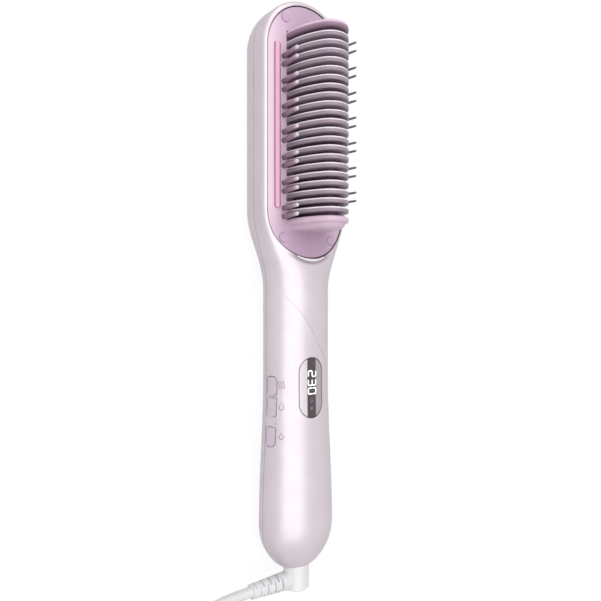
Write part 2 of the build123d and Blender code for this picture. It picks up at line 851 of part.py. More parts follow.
def make_fill_seal():
    outer, inner = fill_diameter / 2 + seal_thickness, fill_diameter / 2
    floor = -head_back_depth + fill_flange_thickness + fit
    seal = rod(outer, 0, fill_y(), floor, -head_back_depth + wall)
    return seal - rod(inner, 0, fill_y(), -FAR, 0)


def make_pump():
    low = tank_near_y() - pump_to_tank - pump_length
    body = axle(pump_diameter / 2, low, low + pump_length, 0, pump_height)
    half = pump_diameter / 2
    top = pump_height + half
    face = block(-half, half, low + pump_length - pump_face_length, low + pump_length,
                 pump_height - half + 1, top - 1)
    return body + fillet(face.edges().filter_by(Axis.Y), 1.0)


def make_tube(side, end_y):
    low = tank_near_y() - pump_to_tank
    x, height = side * tube_spread / 2, tube_height(side)
    tube = axle(tube_diameter / 2, low, end_y, x, height)
    return tube - axle(tube_diameter / 2 - 1, low - 1, end_y + 1, x, height)


def make_thermal_fuse():
    top = core_base - tray_thickness
    low = comb_near_y + 6
    return axle(fuse_diameter / 2, low, low + fuse_length, 6.0, top - fuse_diameter / 2)


def make_ntc_sensor():
    top = core_base - tray_thickness
    low = comb_near_y + 6
    return axle(sensor_diameter / 2, low, low + sensor_length, -6.0, top - sensor_diameter / 2)


# ---- Display ----
def lens_under():
    """Height of the lens's lower face, on the middle line."""
    return depth(lens_y, FRONT) - lens_drop - lens_thickness


def make_display_lens():
    return skin(lens_prism(0.0), lens_drop, lens_drop + lens_thickness, handle_span)


def make_display_holder():
    foot = lens_under() - holder_drop
    holder = lens_prism(holder_margin, foot) & handle_span(wall + fit)
    half, reach = module_width / 2 + fit, module_length / 2 + fit
    return holder - block(-half, half, lens_y - reach, lens_y + reach, 0, FAR)


def make_display_module():
    foot = lens_under() - holder_drop
    half, reach = module_width / 2, module_length / 2
    return block(-half, half, lens_y - reach, lens_y + reach, foot, lens_under() - digit_relief - 0.6)


def seven_segment(lit, y, base):
    """The lit bars of one digit, its top towards +X, as thin solids."""
    tall, wide, bar = digit_height / 2, digit_width / 2, digit_stroke / 2
    spots = {
        "a": (tall, 0, bar, wide), "g": (0, 0, bar, wide), "d": (-tall, 0, bar, wide),
        "f": (tall / 2, wide, tall / 2, bar), "b": (tall / 2, -wide, tall / 2, bar),
        "e": (-tall / 2, wide, tall / 2, bar), "c": (-tall / 2, -wide, tall / 2, bar),
    }
    digit = Part()
    for name in lit:
        x, dy, across, along = spots[name]
        digit += block(x - across, x + across, y + dy - along, y + dy + along, base, base + digit_relief)
    return digit


def make_display_digits():
    base = lens_under() - digit_relief - 0.6
    digits = []
    for index, lit in enumerate(("abged", "abgcd", "abcdef")):
        digits.append(seven_segment(lit, lens_y + digit_start - index * digit_pitch, base))
    return digits


def make_display_board():
    foot = lens_under() - holder_drop
    half, reach = module_width / 2 + 1.5, module_length / 2 + 2
    return block(-half, half, lens_y - reach, lens_y + reach, foot - display_board_thickness, foot)


# ---- Boards and keys ----
def make_main_board():
    low = dome_start_y + board_to_dome
    half = board_width / 2
    board = block(-half, half, low, low + board_length, board_height, board_height + board_thickness)
    return fillet(board.edges().filter_by(Axis.Z), 1.5)


def make_board_parts():
    top = board_height + board_thickness
    low = dome_start_y + board_to_dome
    capacitor = axle(4.0, low + 20, low + 34, 6.0, top + 4.0)
    transformer = fillet(block(-7, 5, low + 4, low + 17, top, top + 9).edges().filter_by(Axis.Z), 1.0)
    relay = block(2.5, 11, low + 38, low + 52, top, top + 4.5)
    chip = block(-3, 4, low + 60, low + 67, top, top + 1.4)
    terminal = block(-6, 6, low, low + 3.5, top, top + 5)
    return [capacitor, transformer, relay, chip, terminal]


def make_button_board():
    low = key_ends(2)[0] - button_board_margin
    high = key_ends(0)[1] + button_board_margin
    x0 = -button_board_offset
    return block(x0, x0 + button_board_thickness, low, high,
                 board_height + board_thickness, button_board_height)


def make_tact_switches():
    switches = []
    for index in range(len(key_lengths)):
        y = sum(key_ends(index)) / 2
        half = switch_size / 2
        x1 = -button_board_offset
        body = block(x1 - switch_height, x1, y - half, y + half,
                     key_middle_height - half, key_middle_height + half)
        hole = stem_diameter / 2 + running_fit / 2
        deep = stem_length - stem_proud + key_travel + fit
        body -= crossbar(hole, x1 - switch_height - 1, x1 - switch_height + deep, y, key_middle_height)
        switches.append(body)
    return switches


def stem_tip():
    """Where the stems' outer ends meet the keys, across the handle."""
    return -button_board_offset - switch_height - stem_proud


def make_stem(index):
    y = sum(key_ends(index)) / 2
    return crossbar(stem_diameter / 2, stem_tip(), stem_tip() + stem_length, y, key_middle_height)


def make_button(index):
    under = wall + key_flange_thickness
    cap = skin(key_prism(index, 0.0), -key_proud, under, handle_span)
    flange = skin(key_prism(index, key_flange), wall + fit, under, handle_span)
    y, web = sum(key_ends(index)) / 2, key_web / 2
    plunger = block(-FAR, stem_tip(), y - web, y + web, key_middle_height - web, key_middle_height + web)
    key = cap + flange + (plunger & handle_span(wall))
    return key & block(-FAR, stem_tip(), -FAR, FAR, seam_gap, FAR)


# ---- Swivel, lead and plug ----
def make_swivel_elbow():
    barrel_top = dome_y + elbow_depth
    barrel = axle(elbow_diameter / 2, tail_y, barrel_top)
    barrel = fillet(barrel.faces().sort_by(Axis.Y)[0].edges(), elbow_round)
    groove_top = barrel_top + groove_length
    barrel += axle(groove_diameter / 2, barrel_top, groove_top)
    barrel += axle(flange_diameter / 2, groove_top, groove_top + flange_length)
    barrel += axle(spigot_diameter / 2, groove_top, groove_top + flange_length + spigot_length)
    barrel -= relief_cone()
    return barrel


def relief_y():
    return tail_y + relief_root_diameter / 2


def relief_cone():
    """The boot's whole outer cone, from inside the barrel to its end."""
    inner_x = -elbow_diameter / 2 + relief_seat
    length = relief_reach + inner_x
    middle = (-relief_reach + inner_x) / 2
    root, tip = relief_root_diameter / 2, relief_tip_diameter / 2
    return Pos(middle, relief_y(), parting_z) * Rot(0, -90, 0) * Cone(root, tip, length)


def make_strain_relief():
    boot = relief_cone()
    start = -elbow_diameter / 2 - slot_start
    core = crossbar(cord_diameter / 2 + 0.35, -relief_reach - 1, 0, relief_y(), 0)
    for number in range(slot_count):
        x = start - number * slot_pitch
        ring = crossbar(relief_root_diameter, x - slot_width, x, relief_y(), 0) - core
        keep = cord_diameter / 2 - 0.4
        if number % 2:
            ring -= block(x - 2, x + 1, relief_y() - keep, relief_y() + keep, -FAR, FAR)
        else:
            ring -= block(x - 2, x + 1, -FAR, FAR, -keep, keep)
        boot -= ring
    return boot


def make_slip_rings():
    base = dome_y + elbow_depth + groove_length + flange_length
    rings = []
    for number in range(2):
        low = base + 1.6 + number * ring_pitch
        ring = axle(ring_diameter / 2, low, low + ring_width)
        rings.append(ring - axle(spigot_diameter / 2, low - 1, low + ring_width + 1))
    return rings


def make_swivel_collar():
    low, high = collar_ends()
    collar = axle(collar_diameter / 2, low, high)
    collar -= axle(groove_diameter / 2 + running_fit / 2, low - 1, high + 1)
    upper = collar & block(-FAR, FAR, low - 1, high + 1, 0, FAR)
    lower = collar & block(-FAR, FAR, low - 1, high + 1, -FAR, 0)
    return [upper, lower]


def contact_ends():
    low = dome_y + elbow_depth + groove_length + flange_length + 0.6
    return low, low + contact_length


def make_contact_block():
    low, high = contact_ends()
    half = contact_width / 2
    body = block(-half, half, low, high, -half, half)
    return body - axle(ring_diameter / 2 + running_fit, low - 1, high + 1)


def make_mains_wires():
    high = dome_start_y + board_to_dome
    low = contact_ends()[1]
    top = board_height + board_thickness + 3
    half = mains_wire_spread / 2
    return [axle(wire_diameter / 2, low, high, x, top) for x in (-half, half)]


def make_heater_wires():
    low = dome_start_y + board_to_dome + board_length - heater_wire_reach
    high = comb_near_y
    radius, half = wire_diameter / 2, heater_wire_spread / 2
    height = core_base - tray_thickness + radius
    return [axle(radius, low, high, x, height) for x in (-half, half)]


COIL_CENTRE = (-39.5, -190.0)
lead_points = [(-relief_reach, relief_y(), parting_z), (-44, relief_y(), parting_z),
               (-58.5, -151, 10.5), (-67, -165, 5), (-69.5, -180, 2.5), (-69.5, -190, 2.5)]
tail_points = [(-69.5, -190, 17.5), (-69.9, -203.2, 16.4), (-69.8, -217.6, 12.0),
               (-62.9, -229.6, 8.0), (-49.9, -237, 7.0), (-35.5, -237, 7.0)]


def bend_radii(points):
    """0.45 of the shorter run, over the tangent of half the turn, at each inner point."""
    radii = []
    for before, here, after in zip(points, points[1:], points[2:]):
        first, second = Vector(here) - Vector(before), Vector(after) - Vector(here)
        half_turn = radians(first.get_angle(second)) / 2
        radii.append(0.45 * min(first.length, second.length) * cos(half_turn) / sin(half_turn))
    return radii


def tube(points, name):
    radii = bend_radii(points)
    path = FilletPolyline(*points, radius=radii).edges()
    wire = Wire(path)
    ring = Face(Wire([Edge.make_circle(cord_diameter / 2, Plane(points[0], z_dir=wire.tangent_at(0)))]))
    solid = sweep(ring, path=wire)
    ideal = pi * cord_diameter ** 2 / 4 * wire.length
    print(name, "radii", [round(r, 1) for r in radii], "length", round(wire.length, 1),
          "volume share", round(solid.volume / ideal, 4))
    return solid


def make_cord_coil():
    outer = coil_mean_diameter / 2 + coil_columns * cord_diameter / 2
    inner = coil_mean_diameter / 2 - coil_columns * cord_diameter / 2
    height = coil_layers * cord_diameter
    coil = Pos(*COIL_CENTRE, height / 2) * (Cylinder(outer, height) - Cylinder(inner, height))
    return fillet(coil.edges(), cord_diameter / 3)


def plug_origin():
    return tail_points[-1]


def make_plug_body():
    x, y, z = plug_origin()
    boot = Pos(x + plug_relief_length / 2, y, z) * Rot(0, 90, 0) * Cone(
        cord_diameter / 2 + plug_relief_wall, plug_relief_diameter / 2, plug_relief_length)
    root, waist = x + plug_relief_length, x + plug_relief_length + plug_shoulder_length
    face = x + plug_relief_length + plug_length
    cheek = face - plug_nose_length
    half, wide, nose = plug_root_width / 2, plug_width / 2, plug_nose_width / 2
    outline = Polyline((root, y - half), (waist, y - wide), (cheek, y - wide), (face, y - nose),
                       (face, y + nose), (cheek, y + wide), (waist, y + wide), (root, y + half), close=True)
    body = extrude(Pos(0, 0, z - plug_thickness / 2) * make_face(outline), plug_thickness)
    body = fillet(body.edges().filter_by(Axis.Z), plug_corner)
    body = fillet(body.faces().filter_by(Axis.Z).edges(), plug_edge)
    body += boot
    for side in (-1, 1):
        body -= pin_root(side)
    return body


def pin_bar(side, diameter, start, end):
    """A bar on one pin's axis, between two distances in front of the plug's face."""
    x, y, z = plug_origin()
    face = x + plug_relief_length + plug_length
    return crossbar(diameter / 2, face + start, face + end, y + side * pin_spacing / 2, z - parting_z)


def pin_root(side):
    """The sleeved root of a pin, from its seat in the plug to where its bare end starts."""
    return pin_bar(side, pin_sleeve_diameter, -pin_seat, pin_sleeve_length)


def make_plug_pins():
    pins = []
    for side in (-1, 1):
        bare = pin_bar(side, pin_diameter, pin_sleeve_length, pin_length)
        bare = fillet(bare.faces().sort_by(Axis.X)[-1].edges(), pin_tip_round)
        pins.append(pin_root(side) + bare)
    return pins


# ---- All the pieces ----
coil = make_cord_coil()
pieces = {
    "rear_shell": make_rear_shell(),
    "front_shell": make_front_shell(),
    "comb_base": make_comb_base(),
    "comb_end_top": make_end_top(),
    "comb_end_bottom": make_end_bottom(),
    "comb_fins": make_comb_fins(),
    "heater_core": make_heater_core(),
    "ptc_heater": make_ptc_heater(),
    "guard_pegs": make_guard_pegs(),
    "bristles": make_bristles(),
    "screw_caps": make_screw_caps(),
    "base_screws": make_base_screws(),
    "steam_bar": make_steam_bar(),
    "steam_manifold": make_steam_manifold(),
    "steam_nipple": make_steam_nipple(),
    "heater_tray": make_heater_tray(),
    "boiler": make_boiler(),
    "insulation_sheet": make_insulation_sheet(),
    "water_tank": make_water_tank(),
    "fill_plug": make_fill_plug(),
    "fill_seal": make_fill_seal(),
    "pump": make_pump(),
    "suction_tube": make_tube(1, tank_near_y()),
    "feed_tube": make_tube(-1, boiler_ends()[0]),
    "thermal_fuse": make_thermal_fuse(),
    "ntc_sensor": make_ntc_sensor(),
    "display_lens": make_display_lens(),
    "display_holder": make_display_holder(),
    "display_module": make_display_module(),
    "display_digits": make_display_digits(),
    "display_board": make_display_board(),
    "main_board": make_main_board(),
    "board_parts": make_board_parts(),
    "button_board": make_button_board(),
    "tact_switches": make_tact_switches(),
    "heat_button": make_button(0),
    "mist_button": make_button(1),
    "power_button": make_button(2),
    "heat_stem": make_stem(0),
    "mist_stem": make_stem(1),
    "power_stem": make_stem(2),
    "swivel_elbow": make_swivel_elbow(),
    "slip_rings": make_slip_rings(),
    "swivel_collar": make_swivel_collar(),
    "contact_block": make_contact_block(),
    "mains_wires": make_mains_wires(),
    "heater_wires": make_heater_wires(),
    "strain_relief": make_strain_relief(),
    "power_cord": tube(lead_points, "lead") - coil,
    "cord_coil": coil,
    "cord_tail": tube(tail_points, "tail") - coil,
    "plug_body": make_plug_body(),
    "plug_pins": make_plug_pins(),
}

os.makedirs("parts", exist_ok=True)
for name, piece in pieces.items():
    solids = []
    for shape in piece if isinstance(piece, list) else [piece]:
        solids += shape.solids()
    export_step(Compound(children=solids) if len(solids) > 1 else solids[0], f"parts/{name}.step")
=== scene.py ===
import json
from math import cos, pi, radians, sin

import bpy
from mathutils import Matrix, Vector


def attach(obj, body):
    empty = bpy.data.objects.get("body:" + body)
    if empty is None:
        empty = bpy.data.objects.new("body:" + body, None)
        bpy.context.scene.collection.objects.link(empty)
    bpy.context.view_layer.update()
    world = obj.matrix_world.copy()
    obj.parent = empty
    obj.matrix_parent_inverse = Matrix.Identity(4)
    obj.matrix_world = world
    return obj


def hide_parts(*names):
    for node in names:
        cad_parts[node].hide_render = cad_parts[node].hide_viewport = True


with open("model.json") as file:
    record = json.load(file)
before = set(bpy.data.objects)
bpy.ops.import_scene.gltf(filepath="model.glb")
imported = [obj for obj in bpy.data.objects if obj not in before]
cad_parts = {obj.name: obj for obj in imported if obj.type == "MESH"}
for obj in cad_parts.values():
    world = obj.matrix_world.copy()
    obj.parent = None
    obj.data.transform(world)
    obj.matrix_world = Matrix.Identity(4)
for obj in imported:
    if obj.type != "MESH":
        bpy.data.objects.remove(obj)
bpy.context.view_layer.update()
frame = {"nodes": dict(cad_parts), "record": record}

# Steam hair straightener brush, lying on its back on a white table. Metres.
# +X is the brush's right, +Y runs to the tip of the head, +Z is the bristle side.

MM = 0.001
nodes = frame["nodes"]

PARTING = 15.1 * MM              # height of the plane where the two shells meet


# ---- Small tools ----
def deselect():
    if bpy.context.mode != "OBJECT":
        bpy.ops.object.mode_set(mode="OBJECT")
    bpy.ops.object.select_all(action="DESELECT")


def only(obj):
    """Select one object and make it the active one."""
    deselect()
    obj.select_set(True)
    bpy.context.view_layer.objects.active = obj
    return obj


def settle(obj):
    """Put the object's place and size into its mesh."""
    only(obj)
    bpy.ops.object.transform_apply(location=True, rotation=True, scale=True)
    return obj


def join(pieces, name):
    deselect()
    for piece in pieces:
        piece.select_set(True)
    bpy.context.view_layer.objects.active = pieces[0]
    if len(pieces) > 1:
        bpy.ops.object.join()
    pieces[0].name = name
    return pieces[0]


def dress(obj, material):
    obj.data.materials.clear()
    obj.data.materials.append(material)


def apply_modifier(obj, kind, **values):
    only(obj)
    modifier = obj.modifiers.new(kind.lower(), kind)
    for name, value in values.items():
        setattr(modifier, name, value)
    bpy.ops.object.modifier_apply(modifier=modifier.name)


# ---- Camera: level with the brush's middle, 36 degrees round to its left ----
CAMERA_TURN = radians(36)
CAMERA_AWAY = 307.7 * MM         # from the brush's long axis
CAMERA_ALONG = -1.45 * MM
CAMERA_ASIDE = 2.3 * MM          # the brush stands a little left of the middle

toward = Vector((-sin(CAMERA_TURN), 0, cos(CAMERA_TURN)))
aside = Vector((cos(CAMERA_TURN), 0, sin(CAMERA_TURN)))
up = Vector((0, 1, 0))

bpy.ops.object.camera_add()
camera = bpy.context.object
camera.name = "camera"
camera.data.lens = 36
camera.data.sensor_width = 36
camera.data.clip_start = 0.01
camera.data.clip_end = 20
place = Vector((0, CAMERA_ALONG, PARTING)) + toward * CAMERA_AWAY + aside * CAMERA_ASIDE
camera.matrix_world = Matrix.Translation(place) @ Matrix((
    (aside.x, up.x, toward.x), (aside.y, up.y, toward.y), (aside.z, up.z, toward.z))).to_4x4()
bpy.context.scene.camera = camera


# ---- Mains lead: out of the boot, into a wound coil past the handle's end, then to the plug ----
CORD = 5.0 * MM
COIL = Vector((-39.5, -190.0)) * MM
COIL_RADII = (30 * MM, 25 * MM, 20 * MM)         # middle of the outer, middle and inner column
COIL_LAYERS = 4
COIL_START = 180                 # degrees round the coil where the lead joins it
COIL_END = 180                   # where it leaves again, after its last full turn
POINTS_PER_TURN = 24
STEP_WINDOW = (100, 280)         # degrees in each turn where it steps to the next column
RISE_WINDOW = (45, 95)           # degrees where it climbs to the next layer instead
lead_route = [(-27, -143, 15.1), (-44, -143, 15.1), (-58.5, -151, 10.5), (-67, -165, 5),
              (-69.5, -180, 2.5)]
tail_route = [(-69.9, -203.2, 16.4), (-69.8, -217.6, 12), (-62.9, -229.6, 8), (-49.9, -237, 7),
              (-35.5, -237, 7)]


def eased(value, window):
    share = min(max((value - window[0]) / (window[1] - window[0]), 0), 1)
    return share * share * (3 - 2 * share)


def coil_slots():
    """Radius and height of each turn in the order it is wound: in, out, in, out."""
    slots = []
    for layer in range(COIL_LAYERS):
        radii = COIL_RADII if layer % 2 == 0 else COIL_RADII[::-1]
        slots += [(radius, CORD * (layer + 0.5)) for radius in radii]
    return slots


def coil_route():
    """Control points of the wound part, from COIL_START to COIL_END."""
    slots = coil_slots()
    total = (len(slots) - 1) * 360 + COIL_END - COIL_START
    count = round(total / 360 * POINTS_PER_TURN)
    shrink = (1 + cos(pi / POINTS_PER_TURN)) / 2     # the spline runs inside its control points
    points = []
    for number in range(count + 1):
        angle = COIL_START + total * number / count
        radius, height = slots[0]
        for turn in range(1, len(slots)):
            past = angle - 360 * turn
            goal_radius, goal_height = slots[turn]
            radius += (goal_radius - slots[turn - 1][0]) * eased(past, STEP_WINDOW)
            height += (goal_height - slots[turn - 1][1]) * eased(past, RISE_WINDOW)
        reach = radius / shrink
        points.append((COIL.x + reach * cos(radians(angle)), COIL.y + reach * sin(radians(angle)), height))
    return points


def make_cord():
    route = [tuple(value * MM for value in point) for point in lead_route]
    route += coil_route()
    route += [tuple(value * MM for value in point) for point in tail_route]
    curve = bpy.data.curves.new("power_lead", "CURVE")
    curve.dimensions = "3D"
    spline = curve.splines.new("NURBS")
    spline.points.add(len(route) - 1)
    for point, spot in zip(spline.points, route):
        point.co = (*spot, 1)
        point.radius = CORD / 2          # the curve's own bevel is one metre deep
    spline.order_u = 3
    spline.use_endpoint_u = True
    spline.resolution_u = 4
    curve.bevel_depth = 1.0
    curve.bevel_resolution = 4
    curve.use_fill_caps = True
    lead = bpy.data.objects.new("power_lead", curve)
    bpy.context.scene.collection.objects.link(lead)
    return lead


power_lead = make_cord()
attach(power_lead, "swivel")
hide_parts("power_cord", "cord_coil", "cord_tail")


# ---- Read-out and key marks: thin shapes laid on the curved faces ----
READOUT_HEIGHT = 5.2 * MM        # of a digit, across the strip
READOUT_WIDTH = 3.5 * MM
STROKE = 0.66 * MM
DIGIT_PITCH = 4.25 * MM
FIRST_DIGIT = -37.6 * MM         # along the handle
READOUT_ASIDE = 0.3 * MM
MARK_STROKE = 0.42 * MM
INK = 0.03 * MM                  # how thick the printed shapes are
BAR_POINT = 0.42                 # of a bar's width, cut off each corner
CORNER_GAP = 0.1 * MM            # between the segments of a digit
OVER_WINDOW = 18 * MM            # where flat shapes start, over the parting plane
WINDOW_REACH = 8 * MM            # how far down they may be pressed


def bar(x, y, length, width):
    """A flat bar along local X with pointed ends."""
    bpy.ops.mesh.primitive_plane_add(size=1, location=(x, y, 0))
    flat = bpy.context.object
    flat.scale = (length, width, 1)
    settle(flat)
    bpy.ops.object.mode_set(mode="EDIT")
    bpy.ops.mesh.select_all(action="SELECT")
    bpy.ops.mesh.bevel(offset=min(length, width) * BAR_POINT, affect="VERTICES")
    bpy.ops.object.mode_set(mode="OBJECT")
    return flat


def turned(flat, angle, centre):
    """Turn a flat shape about a point of its own plane."""
    only(flat)
    bpy.ops.object.mode_set(mode="EDIT")
    bpy.ops.mesh.select_all(action="SELECT")
    bpy.ops.transform.rotate(value=-angle, orient_axis="Z", center_override=(*centre, 0))
    bpy.ops.object.mode_set(mode="OBJECT")
    return flat


def ring(x, y, radius, stroke):
    """A flat ring."""
    bpy.ops.mesh.primitive_circle_add(vertices=48, radius=radius, fill_type="NGON", location=(x, y, 0))
    flat = settle(bpy.context.object)
    bpy.ops.object.mode_set(mode="EDIT")
    bpy.ops.mesh.select_all(action="SELECT")
    bpy.ops.mesh.inset(thickness=stroke)
    bpy.ops.mesh.delete(type="FACE")
    bpy.ops.object.mode_set(mode="OBJECT")
    return flat


def pick(flat, test):
    """Select the corners of a mesh that pass a test on their place."""
    only(flat)
    bpy.ops.object.mode_set(mode="EDIT")
    bpy.ops.mesh.select_mode(type="VERT")
    bpy.ops.mesh.select_all(action="DESELECT")
    bpy.ops.object.mode_set(mode="OBJECT")
    for vertex in flat.data.vertices:
        vertex.select = test(vertex.co)
    bpy.ops.object.mode_set(mode="EDIT")


def seven_segments(lit, x):
    tall, wide = (READOUT_HEIGHT - STROKE) / 2, (READOUT_WIDTH - STROKE) / 2
    flats = []
    for name in lit:
        if name in "agd":
            y = {"a": tall, "g": 0, "d": -tall}[name]
            flats.append(bar(x, y, 2 * wide - CORNER_GAP, STROKE))
        else:
            side = 1 if name in "bc" else -1
            y = tall / 2 if name in "fb" else -tall / 2
            upright = bar(x + side * wide, y, tall - CORNER_GAP, STROKE)
            flats.append(turned(upright, radians(90), (x + side * wide, y)))
    return flats


def drop_mark(x, y, radius, stroke):
    """A water drop: a ring whose top is drawn up to a point."""
    flat = ring(x, y, radius, stroke)
    pick(flat, lambda co: co.y > y and abs(co.x - x) < radius * 0.1)
    bpy.ops.transform.translate(value=(0, radius * 1.15, 0), use_proportional_edit=True,
                                proportional_edit_falloff="SHARP", proportional_size=radius * 1.25)
    bpy.ops.object.mode_set(mode="OBJECT")
    return flat


def power_mark(x, y, radius, stroke):
    """A ring open at the top, with a bar in the opening."""
    flat = ring(x, y, radius, stroke)
    pick(flat, lambda co: co.y - y > radius * 0.55)
    bpy.ops.mesh.delete(type="VERT")
    bpy.ops.object.mode_set(mode="OBJECT")
    upright = bar(x, y + radius * 0.75, radius * 1.1, stroke)
    return [flat, turned(upright, radians(90), (x, y + radius * 0.75))]


def wave_bar(x, y, height, stroke):
    """One rising wave of warm air."""
    bpy.ops.mesh.primitive_grid_add(x_subdivisions=1, y_subdivisions=12, size=1, location=(x, y, 0))
    flat = bpy.context.object
    flat.scale = (stroke, height, 1)
    settle(flat)
    for row in range(13):
        level = y - height / 2 + height * row / 12
        pick(flat, lambda co: abs(co.y - level) < height / 40)
        bpy.ops.transform.translate(value=(stroke * 0.8 * sin(2 * pi * row / 12), 0, 0))
        bpy.ops.object.mode_set(mode="OBJECT")
    return flat


def lay_on(flats, name, host, matrix, reach, cell, thickness=INK):
    """Join flat shapes, bring them over a curved face, press them onto it and give them a thickness."""
    print_piece = join(flats, name)
    only(print_piece)
    bpy.ops.object.mode_set(mode="EDIT")
    bpy.ops.mesh.select_all(action="SELECT")
    bpy.ops.mesh.quads_convert_to_tris()
    for _ in range(cell):
        bpy.ops.mesh.subdivide(number_cuts=1)
    bpy.ops.object.mode_set(mode="OBJECT")
    print_piece.matrix_world = matrix
    apply_modifier(print_piece, "SHRINKWRAP", wrap_method="PROJECT", target=host, use_project_z=True,
                   use_negative_direction=True, use_positive_direction=False, project_limit=reach,
                   offset=thickness / 2)
    apply_modifier(print_piece, "SOLIDIFY", thickness=thickness, offset=0)
    return settle(print_piece)


def make_readout():
    flats = []
    for number, lit in enumerate(("abged", "abgcd", "abcdef")):
        flats += seven_segments(lit, number * DIGIT_PITCH)
    over = Matrix.Translation((READOUT_ASIDE, FIRST_DIGIT, PARTING + OVER_WINDOW))
    matrix = over @ Matrix.Rotation(-pi / 2, 4, "Z")
    readout = lay_on(flats, "readout", nodes["display_lens"], matrix, WINDOW_REACH, 1)
    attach(readout, "housing")
    return readout


DROP_SPOT = (-0.1 * MM, -51.0 * MM)
DOT_SPOT = (0, -54.6 * MM)


def make_state_marks():
    """The two small dim marks below the digits."""
    flats = [drop_mark(*DROP_SPOT, 0.85 * MM, 0.3 * MM), ring(*DOT_SPOT, 0.8 * MM, 0.28 * MM),
             bar(*DOT_SPOT, 0.9 * MM, 0.26 * MM)]
    matrix = Matrix.Translation((0, 0, PARTING + OVER_WINDOW))
    marks = lay_on(flats, "state_marks", nodes["display_lens"], matrix, WINDOW_REACH, 0)
    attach(marks, "housing")
    return marks


MARK_TURN = radians(-42)         # the side face that the marks are printed on
MARK_SPOT = (-14.6 * MM, 8.2 * MM)
MARK_ROWS = (-42.6 * MM, -53.2 * MM, -67.6 * MM)      # warm air, drop and power, along the handle
WAVE_PITCH = 1.15 * MM
WAVE_HEIGHT = 3.9 * MM


def make_key_marks():
    """Warm air, water drop and power, beside their keys."""
    heat, mist, power = MARK_ROWS
    flats = [wave_bar(step * WAVE_PITCH, heat, WAVE_HEIGHT, MARK_STROKE) for step in (-1, 0, 1)]
    flats.append(drop_mark(0, mist - 0.5 * MM, 1.35 * MM, MARK_STROKE))
    flats += power_mark(0, power, 1.45 * MM, MARK_STROKE)
    out = Vector((sin(MARK_TURN), 0, cos(MARK_TURN)))
    spot = Vector((MARK_SPOT[0], 0, PARTING + MARK_SPOT[1])) + out * 5 * MM
    matrix = Matrix.Translation(spot) @ Matrix.Rotation(MARK_TURN, 4, "Y")
    marks = lay_on(flats, "key_marks", nodes["front_shell"], matrix, 12 * MM, 0)
    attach(marks, "housing")
    return marks


PLATE_FACE = PARTING + 9.6 * MM
CAP_SPOTS = [(-14.5, 29.1), (14.5, 29.1), (-13.0, 136.5), (13.0, 136.5)]     # in mm
CAP_RADIUS = 2.3 * MM
CAP_JOINT = 0.4 * MM             # width of the shaded ring round a cap


def make_cap_rings():
    """The shaded joint round each of the four screw caps."""
    flats = [ring(x * MM, y * MM, CAP_RADIUS + CAP_JOINT / 2, CAP_JOINT) for x, y in CAP_SPOTS]
    matrix = Matrix.Translation((0, 0, PLATE_FACE + 5 * MM))
    rings = lay_on(flats, "cap_rings", nodes["comb_base"], matrix, 8 * MM, 0)
    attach(rings, "housing")
    return rings


BROW_RADIUS = 17.1 * MM
BROW_MIDDLE = 34.95 * MM         # of the lip's lower edge, an arc, along the brush
BROW_HALF = 10.4 * MM
BROW_THICKNESS = 0.7 * MM
PLATE_ENDS = (42.7 * MM, 121.4 * MM)             # middles of the plate's round ends
PLATE_RADIUS = 22.9 * MM
BROW_GAP = 0.8 * MM              # plate to the lip


def make_brow():
    """The raised lip of the shell below the plate, widest in the middle and fading out at both ends."""
    crescent = ring(0, BROW_MIDDLE, BROW_RADIUS, 1 * MM)
    pick(crescent, lambda co: co.y > BROW_MIDDLE - 0.5 * BROW_RADIUS or abs(co.x) > BROW_HALF)
    bpy.ops.mesh.delete(type="VERT")
    bpy.ops.object.mode_set(mode="OBJECT")
    inner = BROW_RADIUS - 0.5 * MM
    for vertex in crescent.data.vertices:
        if (vertex.co.xy - Vector((0, BROW_MIDDLE))).length < inner:
            reach = PLATE_RADIUS + BROW_GAP
            vertex.co.y = PLATE_ENDS[0] - (reach ** 2 - vertex.co.x ** 2) ** 0.5
    matrix = Matrix.Translation((0, 0, PLATE_FACE + 8 * MM))
    brow = lay_on([crescent], "plate_brow", nodes["front_shell"], matrix, 14 * MM, 1, BROW_THICKNESS)
    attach(brow, "housing")
    return brow


FOOT_OUTLINES = [(37.2, 8.5, 11.4), (35.0, 7.9, 11.0), (33.4, 7.0, 10.2), (32.7, 5.6, 9.0)]
FOOT_CROWN = Vector((1.6, 24.9)) * MM            # middle of the comb's round top, over the parting plane
FOOT_CORNER = 0.6 * MM           # radius where the bowl meets the plate
FLANGE_SIZE = Vector((25.8, 5.6, 0.5)) * MM
FLANGE_SPOT = (0, 35.2 * MM, PLATE_FACE + 0.1 * MM)


def make_comb_foot():
    """The bowl under the comb's lower frame, with the low flange that it stands on."""
    hoops = []
    for level, crown, half in FOOT_OUTLINES:
        spots = [(FOOT_CROWN.x, FOOT_CROWN.y, crown * MM)]
        spots += [(side * (half * MM - FOOT_CORNER), PLATE_FACE - PARTING, FOOT_CORNER) for side in (-1, 1)]
        for x, height, radius in spots:
            bpy.ops.mesh.primitive_circle_add(vertices=64, radius=radius, rotation=(pi / 2, 0, 0),
                                              location=(x, level * MM, PARTING + height))
            hoops.append(settle(bpy.context.object))
    bowl = join(hoops, "comb_foot")
    only(bowl)
    bpy.ops.object.mode_set(mode="EDIT")
    bpy.ops.mesh.select_all(action="SELECT")
    bpy.ops.mesh.convex_hull()
    bpy.ops.object.mode_set(mode="OBJECT")
    bpy.ops.mesh.primitive_cube_add(size=1, location=FLANGE_SPOT)
    flange = bpy.context.object
    flange.name = "foot_flange"
    flange.scale = FLANGE_SIZE
    settle(flange)
    apply_modifier(flange, "BEVEL", width=0.3 * MM, segments=3, limit_method="ANGLE")
    for piece in (bowl, flange):
        only(piece)
        bpy.ops.object.shade_smooth_by_angle(angle=radians(35))
        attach(piece, "housing")
    return bowl, flange


